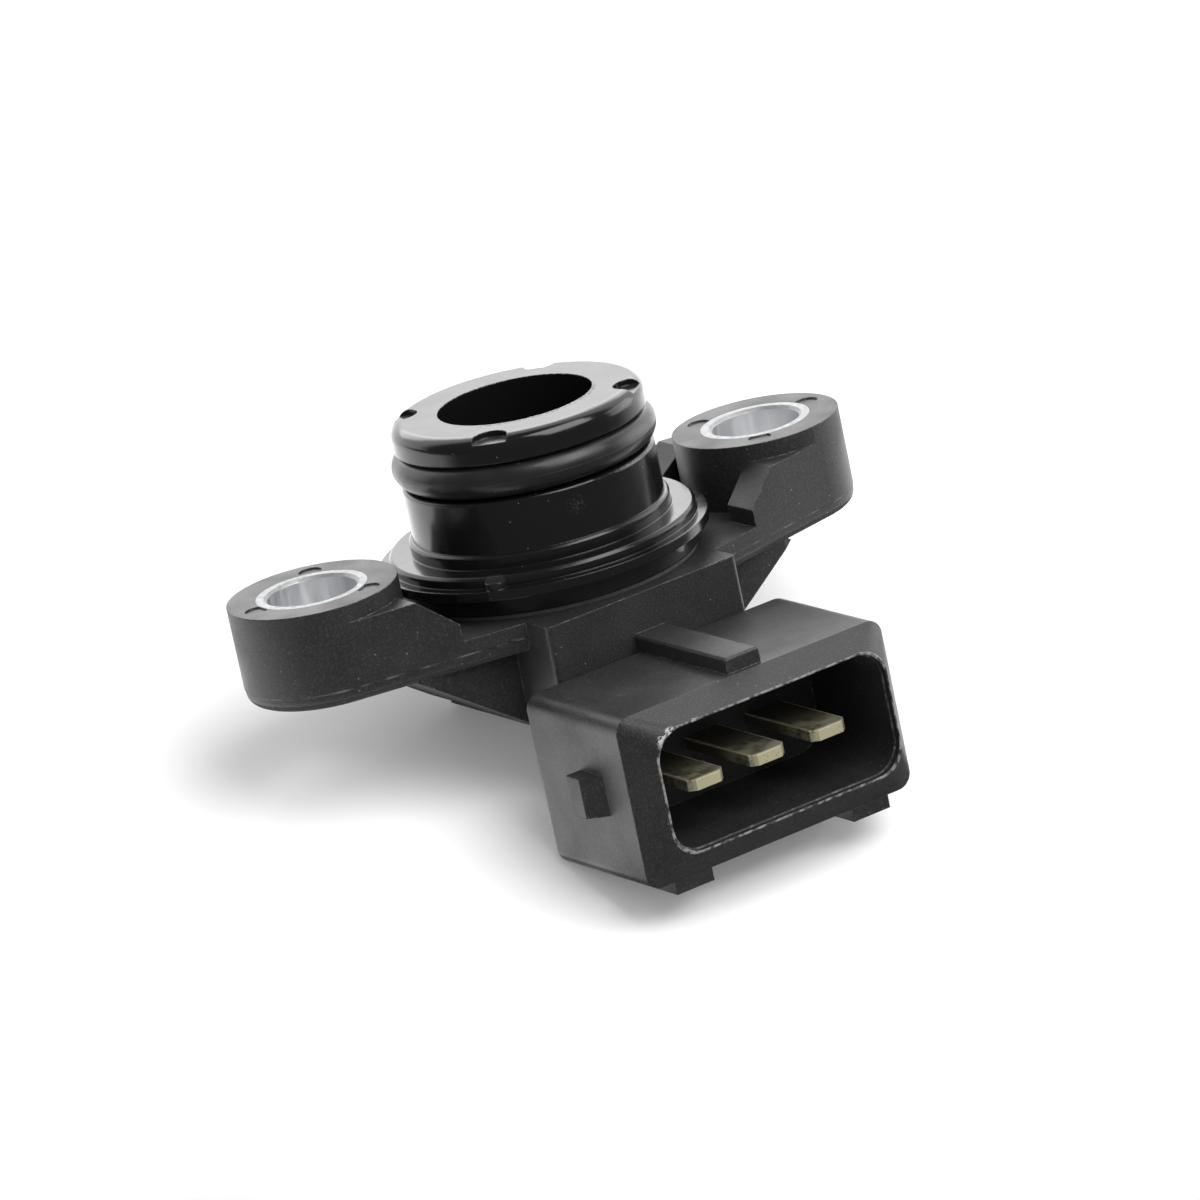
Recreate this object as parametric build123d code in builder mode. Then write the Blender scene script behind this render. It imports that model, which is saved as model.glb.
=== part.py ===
from build123d import *
import math
import os

# A manifold absolute pressure sensor, in millimetres.
# The origin is on the axis of the pressure port, in the plane of the ears' seating faces.
# +Z points out of the port, +X runs along the ears, and the plug socket opens towards -Y.

# Mounting ears
bolt_spacing = 36.7
boss_radius = 5.85
boss_flush = 0.03
boss_mark_radius = 0.8
boss_mark_reach = 4.4
boss_mark_depth = 0.12
ear_height = 6.8
ear_edge_radius = 0.8
parting_drop = 5.7
parting_step = 0.06
bushing_radius = 3.85
bushing_bore_radius = 3.1
bushing_chamfer = 0.2
web_drop = 1.2
web_reach = 3.75
web_slope = 42.0
web_foot_height = 1.2
web_thickness = 3.0

# Body under the flange
ledge_depth = 4.68
plate_margin = 0.1
gusset_top_half_width = 15.35
gusset_bottom_half_width = 7.65
gusset_inset = 0.3
body_half_depth = 6.7
body_drop = 12.3
pad_half_width = 6.5
pad_height = 0.9
pad_corner_radius = 1.0

# Block that carries the plug socket
block_half_width = 7.76
block_front = 11.5
block_foot_drop = 17.5
block_foot_reach = 1.6
block_edge_radius = 0.4

# Plug socket
socket_width = 18.26
socket_height = 8.4
socket_depth = 9.5
socket_corner_radius = 2.0
mouth_step = 0.1
mouth_step_depth = 0.5
shroud_top_drop = 8.44
shroud_side_wall = 1.69
shroud_top_wall = 1.36
shroud_bottom_wall = 2.27
shroud_length = 13.5
shroud_root = 0.3
shroud_corner_radius = 1.1
shroud_rear_share = 0.9
bevel_depth = 2.07
rim_land = 0.2
rim_corner_radius = 2.0

# Keys and latch nubs round the shroud
top_key_width = 2.7
top_key_height = 1.1
top_key_setback = 0.35
top_key_chamfer = 0.15
bottom_key_width = 3.0
bottom_key_height = 0.9
bottom_key_spacing = 14.5
bottom_key_length = 10.4
latch_width = 2.8
latch_drop = 0.12
latch_height = 1.2
latch_setback = 4.9
latch_ramp = 1.2
latch_land = 1.6

# Terminals
terminal_pitch = 5.0
blade_width = 2.8
blade_thickness = 0.8
blade_drop = 4.65
blade_setback = 1.45
blade_tip_chamfer = 0.45
terminal_bend_radius = 0.9
tail_width = 1.6
tail_rise = 1.2
tail_reach = 1.6
riser_inset = 2.0

# Pressure port
bore_radius = 5.37
rim_radius = 8.75
rim_top = 7.52
rim_height = 1.83
rim_edge_radius = 0.9
rim_notch_radius = 1.2
rim_notch_depth = 0.42
groove_width = 2.59
groove_radius = 6.75
spigot_radius = 8.75
spigot_edge_radius = 0.25
step_radius = 9.05
step_height = 0.95
step_chamfer = 0.15
plateau_drop = 1.57
plateau_radius = 10.65
plateau_chamfer = 0.2
lip_drop = 2.33
lip_radius = 11.4
lip_thickness = 0.7
skirt_radius = 10.4
skirt_wall = 1.5
gate_radius = 0.72
gate_height = 0.5
gate_angle = 219.5
adhesive_thickness = 0.3
adhesive_inset = 0.1

# O-ring
o_ring_section = 2.4
o_ring_clearance = 0.02

# Pressure-sensing package in the housing's recess
recess_width = 13.0
recess_length = 9.6
recess_depth = 6.3
recess_corner_radius = 1.5
package_width = 12.0
package_length = 6.6
package_height = 3.8
package_gap = 0.4
package_edge_radius = 0.4
pocket_width = 6.0
pocket_length = 4.6
pocket_depth = 2.4
pocket_corner_radius = 0.8
die_base_size = 2.2
die_base_height = 0.8
die_size = 1.8
die_height = 0.5
gel_drop = 0.3
lead_width = 1.0
lead_thickness = 0.25
lead_exit_height = 2.5
lead_shoulder = 0.5
lead_bend_radius = 0.3
lead_end_gap = 0.4

# Places worked out from the sizes above
bolt_x = bolt_spacing / 2
plate_radius = skirt_radius + plate_margin
web_top_x = bolt_x - web_reach
web_foot_z = -ledge_depth + web_foot_height
web_foot_x = web_top_x - (-web_drop - web_foot_z) / math.tan(math.radians(web_slope))

mouth_y = -block_front - shroud_length
bevel_y = mouth_y + bevel_depth
shroud_back_y = -block_front + shroud_root
shroud_width = socket_width + 2 * shroud_side_wall
shroud_height = socket_height + shroud_top_wall + shroud_bottom_wall
shroud_z = -shroud_top_drop - shroud_height / 2
shroud_bottom_z = -shroud_top_drop - shroud_height
socket_top_z = -shroud_top_drop - shroud_top_wall
socket_z = socket_top_z - socket_height / 2
socket_floor_y = mouth_y + socket_depth

recess_floor_z = -ledge_depth - recess_depth
recess_front_y = -recess_length / 2
blade_z = socket_top_z - blade_drop
blade_tip_y = mouth_y + blade_setback
riser_y = socket_floor_y + riser_inset
tail_z = recess_floor_z + tail_rise
tail_end_y = recess_front_y + tail_reach
riser_middle_z = (blade_z + tail_z) / 2
terminal_places = {"supply": -terminal_pitch, "signal": 0.0, "ground": terminal_pitch}

groove_top_z = rim_top - rim_height
groove_bottom_z = groove_top_z - groove_width
o_ring_radius = groove_radius + o_ring_section / 2 + o_ring_clearance
skirt_bottom_z = -ledge_depth + adhesive_thickness
skirt_inner_radius = skirt_radius - skirt_wall
lip_bottom_z = -lip_drop - lip_thickness

package_back_y = recess_length / 2 - package_gap
package_front_y = package_back_y - package_length
package_y = (package_back_y + package_front_y) / 2
package_top_z = recess_floor_z + package_height
pocket_floor_z = package_top_z - pocket_depth
die_base_top_z = pocket_floor_z + die_base_height
lead_z = recess_floor_z + lead_exit_height
lead_foot_z = tail_z + blade_thickness / 2 + lead_thickness / 2
lead_shoulder_y = package_front_y - lead_shoulder
lead_end_y = recess_front_y + lead_end_gap

pieces = {}


# Terminals: a flat blade in the socket, a riser in its back wall and a narrower tail in the recess
def make_terminal(x):
    with BuildPart() as terminal:
        with BuildSketch(Plane.YZ.offset(x)):
            with BuildLine():
                FilletPolyline(
                    (blade_tip_y, blade_z),
                    (riser_y, blade_z),
                    (riser_y, riser_middle_z),
                    radius=terminal_bend_radius,
                )
            trace(line_width=blade_thickness)
        extrude(amount=blade_width / 2, both=True)
        chamfer(terminal.edges().filter_by(Axis.Z).group_by(Axis.Y)[0], blade_tip_chamfer)
        with BuildSketch(Plane.YZ.offset(x)):
            with BuildLine():
                FilletPolyline(
                    (riser_y, riser_middle_z),
                    (riser_y, tail_z),
                    (tail_end_y, tail_z),
                    radius=terminal_bend_radius,
                )
            trace(line_width=blade_thickness)
        extrude(amount=tail_width / 2, both=True)
    return terminal


terminals = {name: make_terminal(x) for name, x in terminal_places.items()}
for name, terminal in terminals.items():
    pieces[f"{name}_terminal"] = terminal


# Plug shroud: a box with a bevelled mouth, keys above and below, and a latch nub on each side
with BuildPart() as shroud:
    with BuildSketch(Plane.XZ.offset(-shroud_back_y)):
        with Locations((0, shroud_z)):
            RectangleRounded(shroud_width, shroud_height, shroud_corner_radius)
    extrude(amount=shroud_back_y - bevel_y)
    heel = shroud.faces().sort_by(Axis.Y)[-1].edges().sort_by(Axis.Z)[0]
    fillet(heel, shroud_corner_radius * shroud_rear_share)
    with BuildSketch(Plane.XZ.offset(-bevel_y)):
        with Locations((0, shroud_z)):
            RectangleRounded(shroud_width, shroud_height, shroud_corner_radius)
    with BuildSketch(Plane.XZ.offset(-mouth_y)):
        with Locations((0, socket_z)):
            RectangleRounded(socket_width + 2 * rim_land, socket_height + 2 * rim_land, rim_corner_radius)
    loft()
    with BuildSketch(Plane.YZ):
        with BuildLine():
            Polyline(
                (-block_front, -shroud_top_drop - shroud_corner_radius),
                (-block_front, -shroud_top_drop + top_key_height),
                (bevel_y + top_key_setback, -shroud_top_drop + top_key_height),
                (bevel_y + top_key_setback, -shroud_top_drop - shroud_corner_radius),
                close=True,
            )
        make_face()
    extrude(amount=top_key_width / 2, both=True)
    key_edges = shroud.faces().sort_by(Axis.Z)[-1].edges().sort_by(Axis.Y)[:-1]
    chamfer(key_edges, top_key_chamfer)
    with BuildSketch(Plane.XZ.offset(-bevel_y)):
        with Locations((0, shroud_bottom_z)), GridLocations(bottom_key_spacing, 0, 2, 1):
            Rectangle(bottom_key_width, 2 * bottom_key_height)
    extrude(amount=-bottom_key_length)
    with BuildSketch(Plane.XY.offset(socket_z - latch_drop - latch_width / 2)):
        with BuildLine():
            Polyline(
                (shroud_width / 2 - shroud_side_wall / 2, mouth_y + latch_setback),
                (shroud_width / 2, mouth_y + latch_setback),
                (shroud_width / 2 + latch_height, mouth_y + latch_setback + latch_ramp),
                (shroud_width / 2 + latch_height, mouth_y + latch_setback + latch_ramp + latch_land),
                (shroud_width / 2 - shroud_side_wall / 2, mouth_y + latch_setback + latch_ramp + latch_land),
                close=True,
            )
        make_face()
        mirror(about=Plane.YZ)
    extrude(amount=latch_width)


# The flange's outline: the hull of both bosses and the round plate, drawn in by an inset
def flange_outline(inset):
    with BuildSketch() as outline:
        with GridLocations(bolt_spacing, 0, 2, 1):
            Circle(boss_radius - inset)
        Circle(plate_radius - inset)
        make_hull()
    return outline.sketch


# Clearing round the port: open between the webs, ramped along them, and kept off the bosses
with BuildPart() as clearing:
    with BuildSketch(Plane.XY.offset(-ledge_depth)):
        add(flange_outline(web_thickness))
    extrude(amount=ledge_depth)
    with BuildSketch(Plane.XY.offset(-web_drop)):
        add(flange_outline(-web_thickness))
    extrude(amount=web_drop)
    with BuildSketch(Plane.XZ):
        with BuildLine():
            Polyline(
                (web_foot_x, -ledge_depth),
                (web_foot_x, web_foot_z),
                (web_top_x, -web_drop),
                (web_top_x, 0),
                (-web_top_x, 0),
                (-web_top_x, -web_drop),
                (-web_foot_x, web_foot_z),
                (-web_foot_x, -ledge_depth),
                close=True,
            )
        make_face()
    extrude(amount=bolt_spacing, both=True)
    with BuildSketch(Plane.XY.offset(-ledge_depth)):
        with GridLocations(bolt_spacing, 0, 2, 1):
            Circle(boss_radius + boss_flush)
    extrude(amount=ledge_depth, mode=Mode.SUBTRACT)


# Gusset: the sloped body under the ears, kept inside the flange's outline
with BuildPart() as gusset:
    with BuildSketch(Plane.XZ):
        with BuildLine():
            Polyline(
                (gusset_top_half_width, -ear_height),
                (gusset_bottom_half_width, -body_drop),
                (-gusset_bottom_half_width, -body_drop),
                (-gusset_top_half_width, -ear_height),
                (-web_foot_x, -ledge_depth),
                (web_foot_x, -ledge_depth),
                close=True,
            )
        make_face()
    extrude(amount=body_half_depth, both=True)
    with BuildSketch(Plane.XY.offset(-body_drop)):
        add(flange_outline(gusset_inset))
    extrude(amount=body_drop - ledge_depth, mode=Mode.INTERSECT)


# Block between the body and the plug socket
with BuildPart() as block:
    with BuildSketch(Plane.YZ):
        with BuildLine():
            Polyline(
                (0, -ledge_depth),
                (-block_front, -ledge_depth),
                (-block_front, -block_foot_drop),
                (-block_front + block_foot_reach, -block_foot_drop),
                (-body_half_depth, -body_drop),
                (0, -body_drop),
                close=True,
            )
        make_face()
    extrude(amount=block_half_width, both=True)
    front_corners = block.edges().filter_by(Axis.Z).group_by(Axis.Y)[0]
    fillet(front_corners, block_edge_radius)


# Housing: ears, flange plate, body, block and shroud in one moulding, cast round the terminals
with BuildPart() as housing:
    with BuildSketch(Plane.XY.offset(-ear_height)):
        add(flange_outline(parting_step))
    extrude(amount=ear_height - parting_drop)
    fillet(housing.faces().sort_by(Axis.Z)[0].edges(), ear_edge_radius)
    with BuildSketch(Plane.XY.offset(-parting_drop)):
        add(flange_outline(0))
    extrude(amount=parting_drop)
    add(clearing.part, mode=Mode.SUBTRACT)
    add(gusset.part)
    with BuildSketch(Plane.XY.offset(-body_drop)):
        RectangleRounded(2 * pad_half_width, 2 * body_half_depth, pad_corner_radius)
    extrude(amount=-pad_height)
    add(block.part)
    add(shroud.part)

    with BuildSketch(Plane.XZ.offset(-mouth_y)):
        with Locations((0, socket_z)):
            RectangleRounded(socket_width, socket_height, socket_corner_radius)
    extrude(amount=-socket_depth, mode=Mode.SUBTRACT)
    with BuildSketch(Plane.XZ.offset(-mouth_y)):
        with Locations((0, socket_z)):
            RectangleRounded(
                socket_width + 2 * mouth_step,
                socket_height + 2 * mouth_step,
                socket_corner_radius + mouth_step,
            )
    extrude(amount=-mouth_step_depth, mode=Mode.SUBTRACT)
    with BuildSketch(Plane.XY.offset(recess_floor_z)):
        RectangleRounded(recess_width, recess_length, recess_corner_radius)
    extrude(amount=recess_depth, mode=Mode.SUBTRACT)
    with BuildSketch(Plane.XY.offset(-ear_height)):
        with GridLocations(bolt_spacing, 0, 2, 1):
            Circle(bushing_radius)
    extrude(amount=ear_height, mode=Mode.SUBTRACT)
    with BuildSketch():
        for x, first_angle in ((-bolt_x, 60), (bolt_x, 0)):
            with Locations((x, 0)), PolarLocations(boss_mark_reach, 3, start_angle=first_angle):
                Circle(boss_mark_radius)
    extrude(amount=-boss_mark_depth, mode=Mode.SUBTRACT)
    for terminal in terminals.values():
        add(terminal.part, mode=Mode.SUBTRACT)
pieces["housing"] = housing


# Bushings: the metal sleeves that take the load of the bolts
for side, x in (("left", -bolt_x), ("right", bolt_x)):
    with BuildPart() as bushing:
        with BuildSketch(Plane.XY.offset(-ear_height)):
            with Locations((x, 0)):
                Circle(bushing_radius)
                Circle(bushing_bore_radius, mode=Mode.SUBTRACT)
        extrude(amount=ear_height)
        bore_edges = bushing.edges().filter_by(GeomType.CIRCLE).sort_by(SortBy.RADIUS)[:2]
        chamfer(bore_edges, bushing_chamfer)
    pieces[f"{side}_bushing"] = bushing


# Pressure port: one turned profile, with notches in the edge of its rim and a gate mark on its lip
with BuildPart() as pressure_port:
    with BuildSketch(Plane.XZ) as port_profile:
        with BuildLine():
            Polyline(
                (bore_radius, rim_top),
                (rim_radius, rim_top),
                (rim_radius, groove_top_z),
                (groove_radius, groove_top_z),
                (groove_radius, groove_bottom_z),
                (spigot_radius, groove_bottom_z),
                (spigot_radius, -plateau_drop + step_height),
                (step_radius, -plateau_drop + step_height),
                (step_radius, -plateau_drop),
                (plateau_radius, -plateau_drop),
                (plateau_radius, -lip_drop),
                (lip_radius, -lip_drop),
                (lip_radius, lip_bottom_z),
                (skirt_radius, lip_bottom_z),
                (skirt_radius, skirt_bottom_z),
                (skirt_inner_radius, skirt_bottom_z),
                (skirt_inner_radius, lip_bottom_z),
                (bore_radius, lip_bottom_z),
                close=True,
            )
        make_face()
        rim_corner = port_profile.vertices().sort_by_distance((rim_radius, rim_top))[0]
        fillet(rim_corner, rim_edge_radius)
        spigot_corner = port_profile.vertices().sort_by_distance((spigot_radius, groove_bottom_z))[0]
        fillet(spigot_corner, spigot_edge_radius)
        step_corner = port_profile.vertices().sort_by_distance((step_radius, -plateau_drop + step_height))[0]
        chamfer(step_corner, step_chamfer)
        plateau_corner = port_profile.vertices().sort_by_distance((plateau_radius, -plateau_drop))[0]
        chamfer(plateau_corner, plateau_chamfer)
    revolve(axis=Axis.Z)
    with BuildSketch(Plane.XY.offset(rim_top)):
        with PolarLocations(rim_radius - rim_notch_radius / 2, 4, start_angle=45):
            Circle(rim_notch_radius)
    extrude(amount=-rim_notch_depth, mode=Mode.SUBTRACT)
    with BuildSketch(Plane.XY.offset(-lip_drop)):
        with PolarLocations(plateau_radius, 1, start_angle=gate_angle):
            Circle(gate_radius)
    extrude(amount=gate_height)
pieces["pressure_port"] = pressure_port


# O-ring in the groove of the port
with BuildPart() as o_ring:
    with BuildSketch(Plane.XZ):
        with Locations((o_ring_radius, (groove_top_z + groove_bottom_z) / 2)):
            Circle(o_ring_section / 2)
    revolve(axis=Axis.Z)
pieces["o_ring"] = o_ring


# Adhesive ring between the port's skirt and the ledge of the housing
with BuildPart() as port_adhesive:
    with BuildSketch(Plane.XY.offset(-ledge_depth)):
        Circle(skirt_radius - adhesive_inset)
        Circle(skirt_inner_radius + adhesive_inset, mode=Mode.SUBTRACT)
    extrude(amount=adhesive_thickness)
pieces["port_adhesive"] = port_adhesive


# Sensor package: a moulded tray with a pocket for the die
with BuildPart() as sensor_package:
    with BuildSketch(Plane.XY.offset(recess_floor_z)):
        with Locations((0, package_y)):
            RectangleRounded(package_width, package_length, package_edge_radius)
    extrude(amount=package_height)
    with BuildSketch(Plane.XY.offset(pocket_floor_z)):
        with Locations((0, package_y)):
            RectangleRounded(pocket_width, pocket_length, pocket_corner_radius)
    extrude(amount=pocket_depth, mode=Mode.SUBTRACT)
pieces["sensor_package"] = sensor_package


# Leads: a small step from the package's side down to the tail of each terminal
for name, x in terminal_places.items():
    with BuildPart() as lead:
        with BuildSketch(Plane.YZ.offset(x)):
            with BuildLine():
                FilletPolyline(
                    (package_front_y, lead_z),
                    (lead_shoulder_y, lead_z),
                    (lead_shoulder_y, lead_foot_z),
                    (lead_end_y, lead_foot_z),
                    radius=lead_bend_radius,
                )
            trace(line_width=lead_thickness)
        extrude(amount=lead_width / 2, both=True)
    pieces[f"{name}_lead"] = lead


# Die on its base, under a soft gel that fills the pocket
with BuildPart() as die_base:
    with BuildSketch(Plane.XY.offset(pocket_floor_z)):
        with Locations((0, package_y)):
            Rectangle(die_base_size, die_base_size)
    extrude(amount=die_base_height)
pieces["die_base"] = die_base

with BuildPart() as sensor_die:
    with BuildSketch(Plane.XY.offset(die_base_top_z)):
        with Locations((0, package_y)):
            Rectangle(die_size, die_size)
    extrude(amount=die_height)
pieces["sensor_die"] = sensor_die

with BuildPart() as protective_gel:
    with BuildSketch(Plane.XY.offset(pocket_floor_z)):
        with Locations((0, package_y)):
            RectangleRounded(pocket_width, pocket_length, pocket_corner_radius)
    extrude(amount=pocket_depth - gel_drop)
    add(die_base.part, mode=Mode.SUBTRACT)
    add(sensor_die.part, mode=Mode.SUBTRACT)
pieces["protective_gel"] = protective_gel


os.makedirs("parts", exist_ok=True)
for name, piece in pieces.items():
    piece.part.label = name
    export_step(piece.part, f"parts/{name}.step")
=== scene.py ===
import bmesh
import bpy
import math
import random
from mathutils import Matrix, Vector


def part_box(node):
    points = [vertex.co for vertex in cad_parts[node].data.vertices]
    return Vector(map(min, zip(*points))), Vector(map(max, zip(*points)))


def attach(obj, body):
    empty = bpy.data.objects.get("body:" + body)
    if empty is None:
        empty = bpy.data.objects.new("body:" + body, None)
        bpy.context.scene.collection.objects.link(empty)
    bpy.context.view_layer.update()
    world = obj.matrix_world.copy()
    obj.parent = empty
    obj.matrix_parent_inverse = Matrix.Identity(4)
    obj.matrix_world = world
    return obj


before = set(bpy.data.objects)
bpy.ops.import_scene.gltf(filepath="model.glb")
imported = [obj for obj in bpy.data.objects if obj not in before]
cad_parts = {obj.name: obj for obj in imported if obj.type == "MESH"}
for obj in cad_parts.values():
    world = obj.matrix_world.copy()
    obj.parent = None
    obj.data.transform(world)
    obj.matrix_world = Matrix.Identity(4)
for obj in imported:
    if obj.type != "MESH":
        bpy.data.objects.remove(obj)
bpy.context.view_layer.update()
MM = 0.001
X, Y, Z = range(3)


def lowest(node, axis):
    """A CAD node's lowest coordinate along an axis, in millimetres."""
    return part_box(node)[0][axis] / MM


def highest(node, axis):
    """A CAD node's highest coordinate along an axis, in millimetres."""
    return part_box(node)[1][axis] / MM


def midway(node, axis):
    """The middle of a CAD node's box along an axis, in millimetres."""
    return (lowest(node, axis) + highest(node, axis)) / 2


# Camera: the photograph's viewing angle, in the sensor's own frame
VIEW_TARGET = Vector((1.88, -2.47, -7.27)) * MM
VIEW_DISTANCE = 545.66 * MM
VIEW_AZIMUTH = math.radians(29.9)
VIEW_ELEVATION = math.radians(16.64)
VIEW_ROLL = math.radians(11.96)
LENS_MM = 240.0
FILM_WIDTH_MM = 36.0
CLIP_START = 0.01

# The sensor leans back on its connector keys, so the studio floor is tilted under it
STUDIO_TILT = math.radians(20.2)
FLOOR_DROP = 15.0 * MM
FLOOR_SIZE = 3.0
FLOOR_FRONT = 0.055
FLOOR_COLOR = (0.9, 0.9, 0.9)

# Lamps: place in the studio's frame in metres, size in metres, power in watts
LAMPS = {
    "key": ((0.13, -0.22, 0.62), (0.5, 0.5), 3.9),
    "side": ((0.6, -0.12, 0.16), (0.4, 0.4), 1.0),
}
# Bright cards that only show in reflections, given in the same way
CARDS = {
    "back_card": ((0.4, 0.9, 0.2), (1.1, 0.5), 3.5),
}
AMBIENT = 0.7
BACKDROP = 1.0
FLOOR_LIFT = 0.1

# The floor in reflections: white under the ears and behind, dark in front, and dark close under the body as
# a painted shadow
FLOOR_DARK = 0.2
FLOOR_WHITE = 1.9
# Distances in metres: each pair says where a change starts and where it ends
FLOOR_BEHIND = (0.02, 0.06)
FLOOR_UNDER = (0.085, 0.06)
FLOOR_SHADED = (0.018, 0.023)
FLOOR_PAST_BLOCK = (-0.022, -0.012)

# The room in reflections: white walls, and a dark side where the camera stands
ROOM_WHITE = 1.8
ROOM_DARK = 0.14
ROOM_FRONT = Vector((-math.sin(VIEW_AZIMUTH), -math.cos(VIEW_AZIMUTH), 0))
ROOM_DARKENING = (-0.35, -0.05)

# Places on the sensor, in millimetres of its own frame
EAR_TOP_Z = highest("housing", Z)
BOLT_X = midway("right_bushing", X)
MOUTH_Y = lowest("housing", Y)
SOCKET_TOP_Z = -9.8
SOCKET_HALF_WIDTH = 9.13
PARTING_Z = -5.7
BLOCK_HALF_WIDTH = 7.76
RIM_TOP_Z = highest("pressure_port", Z)
NOTCH_DEPTH = 0.42
BORE_RADIUS = 5.37
BORE_FRONT = (-2.5, -4.5)
GATE_PLACE = (-8.22, -6.77, -2.0)
SCRATCH_PLACE = (-1.9, -8.55, 1.75)
O_RING_Z = midway("o_ring", Z)
BLADE_THICKNESS = 0.8
BLADE_TOP_Z = lowest("signal_terminal", Z) + BLADE_THICKNESS
BLADE_TIP_Y = lowest("signal_terminal", Y)
BLADE_HALF_WIDTH = highest("signal_terminal", X)
BLADE_PITCH = midway("ground_terminal", X) - midway("signal_terminal", X)
DIE_Y = midway("sensor_die", Y)
TRACK_REACH = 0.62

# Chips at the mouth: how far in and down from the socket's upper left corner, outer and inner radius
CHIPS = (
    (0.9, 0.3, 0.95, 0.6),
    (3.2, 0.1, 0.5, 0.3),
)

# Flash on the bore's front edge, in millimetres outwards and upwards from that edge
FLASH_SEED = 4
FLASH_STEPS = 90
FLASH_FROM = math.radians(212)
FLASH_TO = math.radians(300)
FLASH_REACH = (0.02, 0.14)
FLASH_LIFT = (-0.06, 0.0)
FLASH_ROOT = (0.06, -0.12)
FLASH_BACK = 0.1

# Shading: where edge wear starts and ends, the bevel's samples, and a Mix node's colour sockets
EDGE_WEAR = (0.02, 0.16)
BEVEL_SAMPLES = 6
MIX_COLORS_IN = (6, 7)
MIX_COLOR_OUT = 2


class Graph:
    """A tree of shader nodes, with one call for each step that is used more than once."""

    def __init__(self, tree):
        self.nodes = tree.nodes
        self.links = tree.links

    def feed(self, value, socket):
        """Links an output to a socket, or writes a constant into it."""
        if isinstance(value, bpy.types.NodeSocket):
            self.links.new(value, socket)
        else:
            socket.default_value = value

    def operate(self, kind, operation, values):
        node = self.nodes.new(kind)
        node.operation = operation
        for value, socket in zip(values, node.inputs):
            self.feed(value, socket)
        return node

    def math(self, operation, *numbers):
        return self.operate("ShaderNodeMath", operation, numbers).outputs[0]

    def measure(self, operation, *vectors):
        """A number worked out from vectors."""
        return self.operate("ShaderNodeVectorMath", operation, vectors).outputs["Value"]

    def ease(self, value, start, end, low=0.0, high=1.0):
        """Goes smoothly from low to high while the value goes from start to end."""
        node = self.nodes.new("ShaderNodeMapRange")
        node.interpolation_type = "SMOOTHSTEP"
        for name, number in (("From Min", start), ("From Max", end), ("To Min", low), ("To Max", high)):
            node.inputs[name].default_value = number
        self.links.new(value, node.inputs["Value"])
        return node.outputs[0]

    def overlap(self, first, *others):
        """The product of masks."""
        for other in others:
            first = self.math("MULTIPLY", first, other)
        return first

    def strongest(self, *marks):
        """The greatest of some masks, each given with its strength."""
        greatest = 0.0
        for mask, strength in marks:
            greatest = self.math("MAXIMUM", greatest, self.math("MULTIPLY", mask, strength))
        return greatest

    def glow(self, kind, strength):
        """A white shader that gives light by itself: Emission, or Background for a world."""
        node = self.nodes.new(f"ShaderNode{kind}")
        node.inputs["Color"].default_value = (1, 1, 1, 1)
        self.feed(strength, node.inputs["Strength"])
        return node.outputs[0]

    def choose(self, factor, first, second):
        """The first shader where the factor is 0, and the second where it is 1."""
        node = self.nodes.new("ShaderNodeMixShader")
        for output, socket in zip((factor, first, second), node.inputs):
            self.links.new(output, socket)
        return node.outputs[0]


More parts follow.
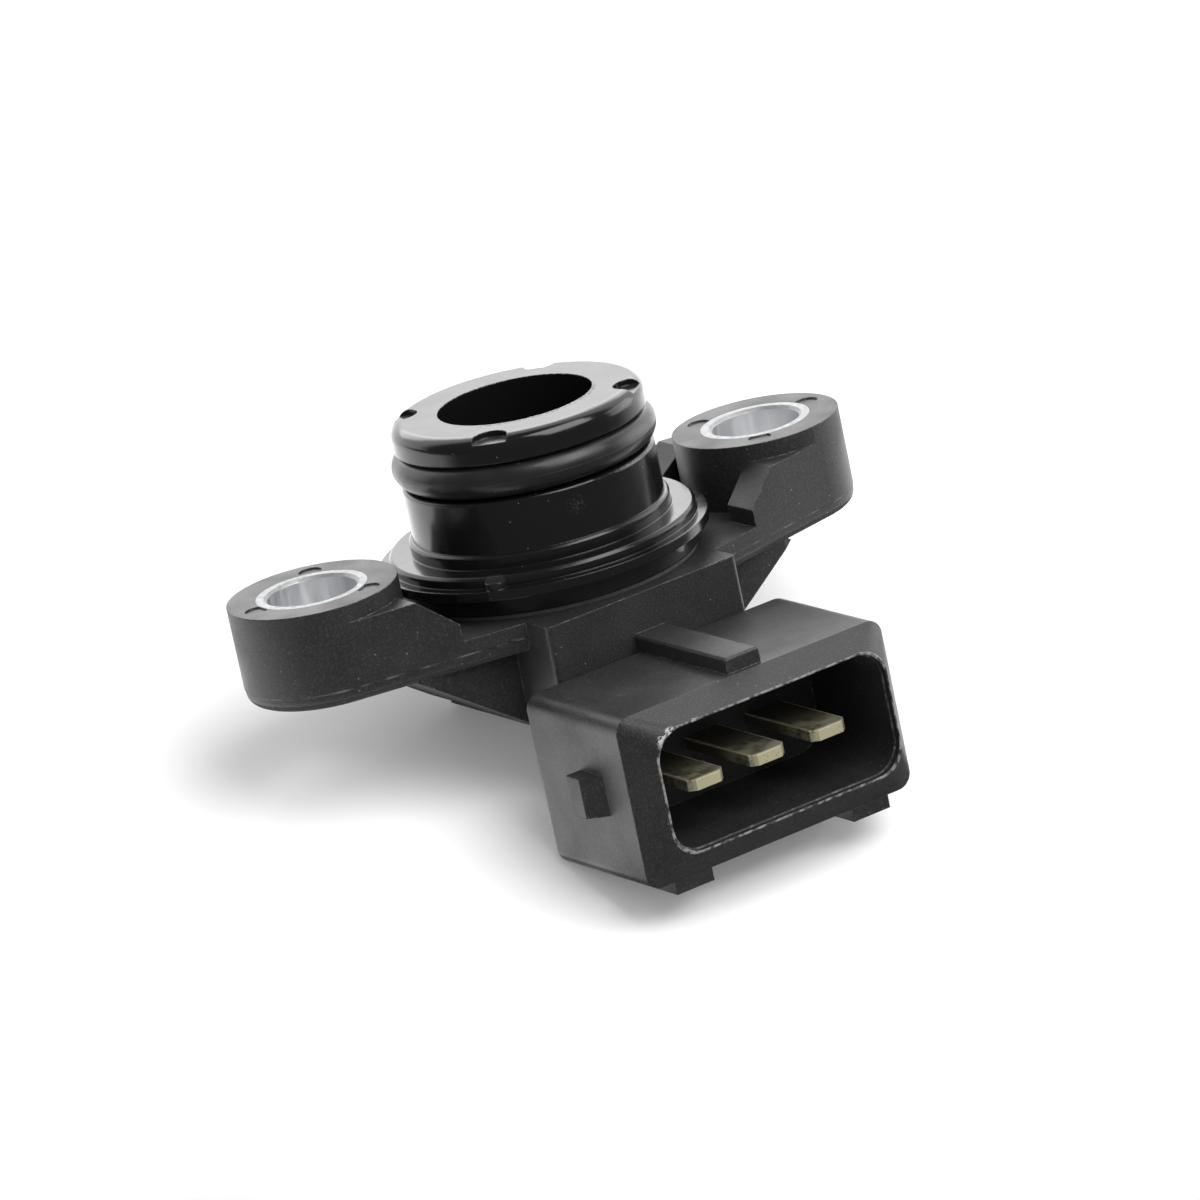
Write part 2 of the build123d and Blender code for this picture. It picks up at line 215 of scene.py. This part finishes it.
class Surface(Graph):
    """A Principled material and its nodes, with coordinates in millimetres of the sensor's own frame."""

    def __init__(self, name, color, roughness, metallic=0.0):
        self.material = bpy.data.materials.new(name)
        self.material.use_nodes = True
        super().__init__(self.material.node_tree)
        self.shader = self.nodes["Principled BSDF"]
        self.set("Base Color", (*color, 1))
        self.set("Roughness", roughness)
        self.set("Metallic", metallic)
        coordinates = self.nodes.new("ShaderNodeTexCoord")
        scaled = self.nodes.new("ShaderNodeVectorMath")
        scaled.operation = "SCALE"
        scaled.inputs["Scale"].default_value = 1 / MM
        self.links.new(coordinates.outputs["Object"], scaled.inputs[0])
        self.place = scaled.outputs[0]
        self.x, self.y, self.z = self.split(self.place)

    def set(self, socket, value):
        self.feed(value, self.shader.inputs[socket])

    def split(self, vector):
        node = self.nodes.new("ShaderNodeSeparateXYZ")
        self.links.new(vector, node.inputs[0])
        return node.outputs

    def near(self, value, middle, width):
        """One where the value is at the middle, falling to nothing a width away."""
        return self.ease(self.math("ABSOLUTE", self.math("SUBTRACT", value, middle)), width, width / 2)

    def distance(self, x, y, z):
        return self.measure("DISTANCE", self.place, (x, y, z))

    def radius(self, x, y):
        """The distance from an axis along Z, for an x and y counted from that axis."""
        squares = [self.math("POWER", value, 2.0) for value in (x, y)]
        return self.math("SQRT", self.math("ADD", *squares))

    def noise(self, scale, detail, stretch=(1, 1, 1)):
        """Noise with a number of cells in each millimetre, drawn out by a stretch under one."""
        mapping = self.nodes.new("ShaderNodeMapping")
        mapping.inputs["Scale"].default_value = stretch
        self.links.new(self.place, mapping.inputs["Vector"])
        node = self.nodes.new("ShaderNodeTexNoise")
        node.inputs["Scale"].default_value = scale
        node.inputs["Detail"].default_value = detail
        self.links.new(mapping.outputs[0], node.inputs["Vector"])
        return node.outputs[0]

    def specks(self, spacing, size, share):
        """Small scattered dots: the middles of some of the cells of a Voronoi pattern."""
        node = self.nodes.new("ShaderNodeTexVoronoi")
        node.inputs["Scale"].default_value = 1 / spacing
        self.links.new(self.place, node.inputs["Vector"])
        dots = self.ease(node.outputs["Distance"], size / spacing, size / spacing / 2)
        channel = self.nodes.new("ShaderNodeSeparateColor")
        self.links.new(node.outputs["Color"], channel.inputs[0])
        chosen = self.math("LESS_THAN", channel.outputs[0], share)
        return self.overlap(dots, chosen)

    def blend(self, factor, *colors):
        """Mixes two colours."""
        node = self.nodes.new("ShaderNodeMix")
        node.data_type = "RGBA"
        self.feed(factor, node.inputs[0])
        for color, place in zip(colors, MIX_COLORS_IN):
            self.feed(color if isinstance(color, bpy.types.NodeSocket) else (*color, 1), node.inputs[place])
        return node.outputs[MIX_COLOR_OUT]

    def rounded(self, radius):
        """The normal with its edges rounded by a radius in millimetres."""
        node = self.nodes.new("ShaderNodeBevel")
        node.samples = BEVEL_SAMPLES
        node.inputs["Radius"].default_value = radius * MM
        return node.outputs[0]

    def edges(self, normal):
        """One along sharp edges, found where the rounded normal leaves the face's own."""
        geometry = self.nodes.new("ShaderNodeNewGeometry")
        agreement = self.measure("DOT_PRODUCT", normal, geometry.outputs["True Normal"])
        return self.ease(self.math("SUBTRACT", 1.0, agreement), *EDGE_WEAR)

    def upward(self, normal):
        """The upward share of a normal."""
        return self.split(normal)["Z"]

    def bump(self, height, depth, normal=None):
        """Raises the surface by a height, times a depth in millimetres."""
        node = self.nodes.new("ShaderNodeBump")
        node.inputs["Distance"].default_value = depth * MM
        self.links.new(height, node.inputs["Height"])
        if normal is not None:
            self.links.new(normal, node.inputs["Normal"])
        self.links.new(node.outputs[0], self.shader.inputs["Normal"])


# Housing: satin black plastic with moulding grain, worn edges, a parting line, a scuffed mouth and dust
def housing_plastic():
    dark = (0.011, 0.011, 0.0115)
    light = (0.02, 0.02, 0.0205)
    grain_color = (0.07, 0.07, 0.071)
    mark_color = (0.42, 0.42, 0.41)
    surface = Surface("housing_plastic", (0.017, 0.017, 0.0175), 0.46)
    cloud = surface.noise(scale=0.25, detail=4.0)
    grain = surface.noise(scale=8.0, detail=3.0)
    fleck = surface.noise(scale=3.0, detail=6.0)
    rounded = surface.rounded(radius=0.12)
    worn = surface.overlap(surface.edges(rounded), surface.ease(fleck, 0.48, 0.68))
    rubbed = surface.ease(surface.noise(scale=2.0, detail=6.0), 0.38, 0.6)
    rim = surface.overlap(surface.near(surface.y, MOUTH_Y, width=0.08), rubbed)
    chips = []
    for inwards, down, outer, inner in CHIPS:
        away = surface.distance(inwards - SOCKET_HALF_WIDTH, MOUTH_Y, SOCKET_TOP_Z - down)
        chips.append(surface.ease(away, outer, inner))
    chipped = surface.overlap(surface.math("MAXIMUM", *chips), surface.near(surface.y, MOUTH_Y, width=0.3))
    scuffed = surface.overlap(chipped, surface.ease(surface.noise(scale=3.2, detail=5.0), 0.44, 0.54))
    sideways = surface.math("ABSOLUTE", surface.x)
    on_ears = surface.ease(sideways, BLOCK_HALF_WIDTH, BLOCK_HALF_WIDTH + 0.4)
    patchy = surface.ease(surface.noise(scale=0.7, detail=6.0), 0.4, 0.7)
    parting = surface.overlap(surface.near(surface.z, PARTING_Z, width=0.09), on_ears, patchy)
    dust = surface.specks(spacing=0.5, size=0.055, share=0.22)
    marks = surface.strongest((worn, 0.4), (rim, 0.5), (scuffed, 1.0), (parting, 0.3), (dust, 0.45))
    body = surface.blend(cloud, dark, light)
    body = surface.blend(surface.ease(grain, 0.45, 0.8, low=0.0, high=0.55), body, grain_color)
    surface.set("Base Color", surface.blend(marks, body, mark_color))
    satin = surface.ease(surface.math("ADD", cloud, marks), 0.3, 0.9, low=0.4, high=0.6)
    underside = surface.ease(surface.upward(rounded), -0.2, -0.45, low=0.0, high=0.45)
    surface.set("Roughness", surface.math("ADD", satin, underside))
    raised = surface.math("MULTIPLY", marks, 2.0)
    surface.bump(surface.math("ADD", grain, raised), depth=0.018, normal=rounded)
    return surface.material


# Port: glossy black plastic, smeared and dusty, with a scratch, a gate mark, a nicked rim, and rougher notch
# floors painted lighter as a painted reflection
def port_plastic():
    black = (0.006, 0.006, 0.0063)
    mark_color = (0.4, 0.4, 0.39)
    surface = Surface("port_plastic", black, 0.17)
    smear = surface.noise(scale=0.5, detail=5.0, stretch=(1, 1, 0.35))
    rounded = surface.rounded(radius=0.14)
    dust = surface.specks(spacing=0.6, size=0.05, share=0.2)
    gate = surface.ease(surface.distance(*GATE_PLACE), 0.8, 0.65)
    scraped = surface.ease(surface.noise(scale=9.0, detail=6.0), 0.55, 0.65)
    scratch = surface.overlap(surface.ease(surface.distance(*SCRATCH_PLACE), 0.9, 0.2), scraped)
    at_bore = surface.near(surface.radius(surface.x, surface.y), BORE_RADIUS, width=0.35)
    bore_front = surface.overlap(at_bore, surface.ease(surface.y, *BORE_FRONT))
    torn = surface.math("MAXIMUM", surface.edges(rounded), bore_front)
    broken = surface.ease(surface.noise(scale=4.0, detail=4.0), 0.5, 0.6)
    nicks = surface.overlap(torn, surface.near(surface.z, RIM_TOP_Z, width=0.25), broken)
    # Up-facing notch floors are painted lighter: a painted reflection, carried in the marks with the real
    # dust, scratch, nicks and gate mark
    level = surface.ease(surface.upward(rounded), 0.6, 0.8)
    painted_notch_light = surface.overlap(surface.near(surface.z, RIM_TOP_Z - NOTCH_DEPTH, width=0.12), level)
    notch_light_amount = surface.ease(smear, 0.3, 0.7, low=0.03, high=0.12)
    marks = surface.strongest((dust, 0.4), (scratch, 0.15), (nicks, 0.8), (gate, 0.03), (painted_notch_light, notch_light_amount))
    surface.set("Base Color", surface.blend(marks, black, mark_color))
    smeared = surface.math("ADD", smear, marks)
    surface.set("Roughness", surface.ease(smeared, 0.35, 1.0, low=0.14, high=0.34))
    raised = surface.math("MULTIPLY", nicks, 45.0)
    surface.bump(surface.math("ADD", smear, raised), depth=0.004, normal=rounded)
    return surface.material


# Torn plastic: whitened where it was stressed, dark between
def torn_plastic():
    dark = (0.012, 0.012, 0.012)
    whitened = (0.16, 0.16, 0.158)
    surface = Surface("torn_plastic", (0.1, 0.1, 0.1), 0.5)
    stress = surface.noise(scale=3.5, detail=4.0)
    surface.set("Base Color", surface.blend(surface.ease(stress, 0.46, 0.6), dark, whitened))
    surface.set("Roughness", surface.ease(stress, 0.3, 0.7, low=0.3, high=0.6))
    surface.bump(stress, depth=0.03)
    return surface.material


# Seal: semi-gloss rubber with a fine mould line round its middle and a little dust
def seal_rubber():
    dark = (0.009, 0.009, 0.009)
    light = (0.016, 0.016, 0.0165)
    dust_color = (0.35, 0.35, 0.34)
    surface = Surface("seal_rubber", (0.011, 0.011, 0.0115), 0.32)
    skin = surface.noise(scale=6.0, detail=4.0)
    cloud = surface.noise(scale=0.6, detail=3.0)
    line = surface.near(surface.z, O_RING_Z, width=0.05)
    dust = surface.math("MULTIPLY", surface.specks(spacing=0.6, size=0.05, share=0.25), 0.5)
    surface.set("Base Color", surface.blend(dust, surface.blend(cloud, dark, light), dust_color))
    surface.set("Roughness", surface.ease(cloud, 0.3, 0.7, low=0.27, high=0.4))
    surface.bump(surface.math("ADD", skin, line), depth=0.006)
    return surface.material


# Bushings: bright turned aluminium, streaked down the bore, ringed on the top faces, and painted darker
# there as painted shade
def bushing_metal():
    dark = (0.66, 0.67, 0.68)
    light = (0.86, 0.87, 0.88)
    face_shade_color = (0.4, 0.405, 0.41)
    radians_per_mm = 60.0
    surface = Surface("bushing_metal", (0.83, 0.84, 0.85), 0.24, metallic=1.0)
    streaks = surface.noise(scale=2.5, detail=4.0, stretch=(1, 1, 0.08))
    offset = surface.math("SUBTRACT", surface.math("ABSOLUTE", surface.x), BOLT_X)
    radius = surface.radius(offset, surface.y)
    rings = surface.math("SINE", surface.math("MULTIPLY", radius, radians_per_mm))
    faces = surface.ease(surface.z, EAR_TOP_Z - 0.25, EAR_TOP_Z - 0.15)
    # The top faces are painted darker: painted shade that tones down their reflection
    surface.set("Base Color", surface.blend(faces, surface.blend(streaks, dark, light), face_shade_color))
    turned = surface.ease(streaks, 0.35, 0.7, low=0.3, high=0.5)
    surface.set("Roughness", surface.math("ADD", turned, surface.math("MULTIPLY", faces, 0.25)))
    grooves = surface.math("ADD", streaks, surface.math("MULTIPLY", rings, 0.15))
    surface.bump(grooves, depth=0.004, normal=surface.rounded(radius=0.08))
    return surface.material


# Terminals: pale brass, scratched along the blades, dull towards the roots, with painted highlights at the
# tips and along the blades' top edges
def terminal_brass():
    tarnished = (0.24, 0.23, 0.15)
    clean = (0.62, 0.6, 0.42)
    root_color = (0.16, 0.15, 0.1)
    tip_highlight_color = (0.75, 0.7, 0.45)
    crest_highlight_color = (0.95, 0.88, 0.6)
    surface = Surface("terminal_brass", (0.5, 0.47, 0.31), 0.34, metallic=0.7)
    scratches = surface.noise(scale=7.0, detail=3.0, stretch=(1, 0.06, 1))
    tarnish = surface.noise(scale=0.9, detail=5.0)
    # Painted highlights: the tips and the top edges of the blades are painted brighter
    tip_highlight = surface.ease(surface.y, BLADE_TIP_Y + 0.3, BLADE_TIP_Y + 0.1)
    blade = surface.math("ROUND", surface.math("DIVIDE", surface.x, BLADE_PITCH))
    middle = surface.math("MULTIPLY", blade, BLADE_PITCH)
    across = surface.math("ABSOLUTE", surface.math("SUBTRACT", surface.x, middle))
    border = surface.math("MAXIMUM", surface.near(across, BLADE_HALF_WIDTH, width=0.14), tip_highlight)
    crest_highlight = surface.overlap(border, surface.near(surface.z, BLADE_TOP_Z, width=0.14))
    plugged = surface.ease(surface.y, BLADE_TIP_Y + 5.0, BLADE_TIP_Y + 1.0)
    scraped = surface.math("MULTIPLY", scratches, 0.4)
    spotted = surface.ease(surface.math("ADD", tarnish, scraped), 0.55, 0.85)
    aged = surface.blend(spotted, tarnished, clean)
    aged = surface.blend(plugged, root_color, aged)
    aged = surface.blend(tip_highlight, aged, tip_highlight_color)
    surface.set("Base Color", surface.blend(crest_highlight, aged, crest_highlight_color))
    rough = surface.math("ADD", scratches, tarnish)
    surface.set("Roughness", surface.ease(rough, 0.7, 1.3, low=0.26, high=0.46))
    surface.bump(scratches, depth=0.002)
    return surface.material


# Sealant between port and housing: dull, slightly wavy
def adhesive():
    dark = (0.03, 0.03, 0.031)
    light = (0.06, 0.06, 0.062)
    surface = Surface("adhesive", (0.04, 0.04, 0.042), 0.5)
    waves = surface.noise(scale=1.2, detail=3.0)
    surface.set("Base Color", surface.blend(waves, dark, light))
    surface.set("Roughness", surface.ease(waves, 0.3, 0.7, low=0.4, high=0.65))
    surface.bump(waves, depth=0.05)
    return surface.material


# Package: black moulding compound with a sandy grain
def package_plastic():
    dark = (0.03, 0.03, 0.03)
    light = (0.055, 0.055, 0.054)
    surface = Surface("package_plastic", (0.04, 0.04, 0.04), 0.6)
    grain = surface.noise(scale=12.0, detail=3.0)
    cloud = surface.noise(scale=0.8, detail=3.0)
    surface.set("Base Color", surface.blend(cloud, dark, light))
    surface.set("Roughness", surface.ease(grain, 0.3, 0.7, low=0.5, high=0.7))
    surface.bump(grain, depth=0.012)
    return surface.material


# Leads: tinned strip with fine rolling lines
def lead_metal():
    dark = (0.6, 0.59, 0.56)
    light = (0.78, 0.77, 0.73)
    surface = Surface("lead_metal", (0.7, 0.69, 0.65), 0.3, metallic=1.0)
    lines = surface.noise(scale=10.0, detail=3.0, stretch=(1, 0.08, 0.08))
    surface.set("Base Color", surface.blend(lines, dark, light))
    surface.set("Roughness", surface.ease(lines, 0.3, 0.7, low=0.24, high=0.4))
    surface.bump(lines, depth=0.004)
    return surface.material


# Die base: ground glass
def base_glass():
    surface = Surface("base_glass", (0.78, 0.84, 0.84), 0.4)
    ground = surface.noise(scale=14.0, detail=2.0)
    surface.set("Transmission Weight", 0.4)
    surface.set("Roughness", surface.ease(ground, 0.3, 0.7, low=0.35, high=0.55))
    surface.bump(ground, depth=0.006)
    return surface.material


# Die: polished silicon with a square membrane and metal tracks round it
def die_silicon():
    dark = (0.17, 0.18, 0.22)
    light = (0.24, 0.25, 0.3)
    track_color = (0.75, 0.74, 0.7)
    surface = Surface("die_silicon", (0.2, 0.21, 0.25), 0.12, metallic=0.6)
    lengthwise = surface.math("SUBTRACT", surface.y, DIE_Y)
    reach = surface.math("MAXIMUM", *[surface.math("ABSOLUTE", side) for side in (surface.x, lengthwise)])
    track = surface.near(reach, TRACK_REACH, width=0.06)
    cloud = surface.noise(scale=1.5, detail=3.0)
    surface.set("Base Color", surface.blend(track, surface.blend(cloud, dark, light), track_color))
    surface.set("Roughness", surface.ease(cloud, 0.3, 0.7, low=0.08, high=0.2))
    surface.bump(track, depth=0.01)
    return surface.material


# Gel: clear and soft, with a gently uneven face
def gel():
    surface = Surface("gel", (0.85, 0.87, 0.88), 0.08)
    face = surface.noise(scale=0.7, detail=2.0)
    surface.set("Transmission Weight", 0.9)
    surface.set("IOR", 1.41)
    surface.set("Roughness", surface.ease(face, 0.3, 0.7, low=0.04, high=0.14))
    surface.bump(face, depth=0.1)
    return surface.material


def dress(names, material):
    for name in names:
        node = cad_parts[name]
        node.data.materials.clear()
        node.data.materials.append(material)


def add_piece(name, mesh, material):
    """Adds a built mesh as a piece of the sensor's one body."""
    data = bpy.data.meshes.new(name)
    mesh.to_mesh(data)
    mesh.free()
    piece = bpy.data.objects.new(name, data)
    bpy.context.scene.collection.objects.link(piece)
    data.materials.append(material)
    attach(piece, "root")


# Flash: a torn thread of plastic left along the front edge of the bore, three-sided and fading at its ends
def add_bore_flash(material):
    random.seed(FLASH_SEED)
    mesh = bmesh.new()
    rows = []
    for step in range(FLASH_STEPS + 1):
        angle = FLASH_FROM + (FLASH_TO - FLASH_FROM) * step / FLASH_STEPS
        fade = math.sin(math.pi * step / FLASH_STEPS)
        reach = random.uniform(*FLASH_REACH) * fade
        lift = random.uniform(*FLASH_LIFT) * fade
        row = []
        for outwards, upwards in (FLASH_ROOT, (-reach, lift), (FLASH_BACK + reach / 2, lift / 2)):
            radius = (BORE_RADIUS + outwards) * MM
            height = (RIM_TOP_Z + upwards) * MM
            row.append(mesh.verts.new((radius * math.cos(angle), radius * math.sin(angle), height)))
        rows.append(row)
    for near_row, far_row in zip(rows, rows[1:]):
        for corner in range(len(near_row)):
            after = (corner + 1) % len(near_row)
            mesh.faces.new((near_row[corner], near_row[after], far_row[after], far_row[corner]))
    mesh.faces.new(rows[0])
    mesh.faces.new(reversed(rows[-1]))
    bmesh.ops.recalc_face_normals(mesh, faces=mesh.faces)
    add_piece("bore_flash", mesh, material)


def studio_matrix():
    """The studio's frame: its floor plane, tilted about X and set under the sensor's lowest edges."""
    tilt = Matrix.Rotation(STUDIO_TILT, 4, "X")
    return tilt @ Matrix.Translation((0, 0, -FLOOR_DROP))


def add_camera():
    data = bpy.data.cameras.new("photo_camera")
    data.lens = LENS_MM
    data.sensor_width = FILM_WIDTH_MM
    data.clip_start = CLIP_START
    camera = bpy.data.objects.new("photo_camera", data)
    bpy.context.scene.collection.objects.link(camera)
    forward = Vector((
        math.sin(VIEW_AZIMUTH) * math.cos(VIEW_ELEVATION),
        math.cos(VIEW_AZIMUTH) * math.cos(VIEW_ELEVATION),
        -math.sin(VIEW_ELEVATION),
    ))
    level = forward.to_track_quat("-Z", "Y").to_matrix().to_4x4()
    roll = Matrix.Rotation(-VIEW_ROLL, 4, "Z")
    camera.matrix_world = Matrix.Translation(VIEW_TARGET - forward * VIEW_DISTANCE) @ level @ roll
    bpy.context.scene.camera = camera


def floor_in_reflections(graph, position):
    """How bright the floor is in reflections, at a position in the sensor's frame."""
    behind = graph.ease(graph.measure("DOT_PRODUCT", position, -ROOM_FRONT), *FLOOR_BEHIND)
    past_block = graph.ease(graph.measure("DOT_PRODUCT", position, (0, 1, 0)), *FLOOR_PAST_BLOCK)
    away = graph.measure("LENGTH", position)
    # Close under the body the reflected floor stays dark: a painted shadow
    under = graph.overlap(graph.ease(away, *FLOOR_UNDER), graph.ease(away, *FLOOR_SHADED), past_block)
    white = graph.math("MAXIMUM", behind, under)
    return graph.ease(white, 0.0, 1.0, low=FLOOR_DARK, high=FLOOR_WHITE)


def add_floor():
    """A pale floor that shows its shadows, with its own look in reflections, and clear from below."""
    bpy.ops.mesh.primitive_plane_add(size=FLOOR_SIZE)
    floor = bpy.context.object
    floor.name = "studio_floor"
    turned = Matrix.Rotation(-VIEW_AZIMUTH, 4, "Z")
    set_back = Matrix.Translation((0, FLOOR_SIZE / 2 - FLOOR_FRONT, 0))
    floor.matrix_world = studio_matrix() @ turned @ set_back
    material = bpy.data.materials.new("studio_floor")
    material.use_nodes = True
    graph = Graph(material.node_tree)
    graph.nodes.clear()
    output = graph.nodes.new("ShaderNodeOutputMaterial")
    rays = graph.nodes.new("ShaderNodeLightPath")
    geometry = graph.nodes.new("ShaderNodeNewGeometry")
    diffuse = graph.nodes.new("ShaderNodeBsdfDiffuse")
    diffuse.inputs["Color"].default_value = (*FLOOR_COLOR, 1)
    lifted = graph.nodes.new("ShaderNodeAddShader")
    graph.links.new(diffuse.outputs[0], lifted.inputs[0])
    graph.links.new(graph.glow("Emission", FLOOR_LIFT), lifted.inputs[1])
    mirrored = graph.glow("Emission", floor_in_reflections(graph, geometry.outputs["Position"]))
    clear = graph.nodes.new("ShaderNodeBsdfTransparent")
    lit = graph.choose(rays.outputs["Is Camera Ray"], diffuse.outputs[0], lifted.outputs[0])
    lit = graph.choose(rays.outputs["Is Glossy Ray"], lit, mirrored)
    sided = graph.choose(geometry.outputs["Backfacing"], lit, clear.outputs[0])
    graph.links.new(sided, output.inputs["Surface"])
    floor.data.materials.append(material)


def add_world():
    """White where the camera sees it, a room with a dark side in reflections, and soft light otherwise."""
    world = bpy.data.worlds.new("studio")
    bpy.context.scene.world = world
    world.use_nodes = True
    graph = Graph(world.node_tree)
    graph.nodes.clear()
    output = graph.nodes.new("ShaderNodeOutputWorld")
    rays = graph.nodes.new("ShaderNodeLightPath")
    direction = graph.nodes.new("ShaderNodeTexCoord")
    frontal = graph.measure("DOT_PRODUCT", direction.outputs["Generated"], ROOM_FRONT)
    walls = graph.ease(frontal, *ROOM_DARKENING, low=ROOM_WHITE, high=ROOM_DARK)
    ambient, room, backdrop = [graph.glow("Background", strength) for strength in (AMBIENT, walls, BACKDROP)]
    reflected = graph.choose(rays.outputs["Is Glossy Ray"], ambient, room)
    seen = graph.choose(rays.outputs["Is Camera Ray"], reflected, backdrop)
    graph.links.new(seen, output.inputs["Surface"])


def add_softbox(name, place, size, power):
    """An area lamp at a place in the studio's frame, aimed at the sensor."""
    data = bpy.data.lights.new(name, "AREA")
    data.shape = "RECTANGLE"
    data.size, data.size_y = size
    data.energy = power
    lamp = bpy.data.objects.new(name, data)
    lamp.visible_camera = False
    bpy.context.scene.collection.objects.link(lamp)
    where = studio_matrix() @ Vector(place)
    aim = (VIEW_TARGET - where).to_track_quat("-Z", "Y").to_matrix().to_4x4()
    lamp.matrix_world = Matrix.Translation(where) @ aim
    return lamp


# Materials of the carried-over nodes, and the added piece
dress(["housing"], housing_plastic())
dress(["pressure_port"], port_plastic())
dress(["o_ring"], seal_rubber())
dress(["port_adhesive"], adhesive())
dress(["left_bushing", "right_bushing"], bushing_metal())
dress([f"{name}_terminal" for name in ("supply", "signal", "ground")], terminal_brass())
dress(["sensor_package"], package_plastic())
dress([f"{name}_lead" for name in ("supply", "signal", "ground")], lead_metal())
dress(["die_base"], base_glass())
dress(["sensor_die"], die_silicon())
dress(["protective_gel"], gel())
add_bore_flash(torn_plastic())

# Studio
add_camera()
add_floor()
add_world()
for name, (place, size, power) in LAMPS.items():
    add_softbox(name, place, size, power)
for name, (place, size, power) in CARDS.items():
    add_softbox(name, place, size, power).visible_diffuse = False

bpy.context.scene.view_settings.view_transform = "Standard"
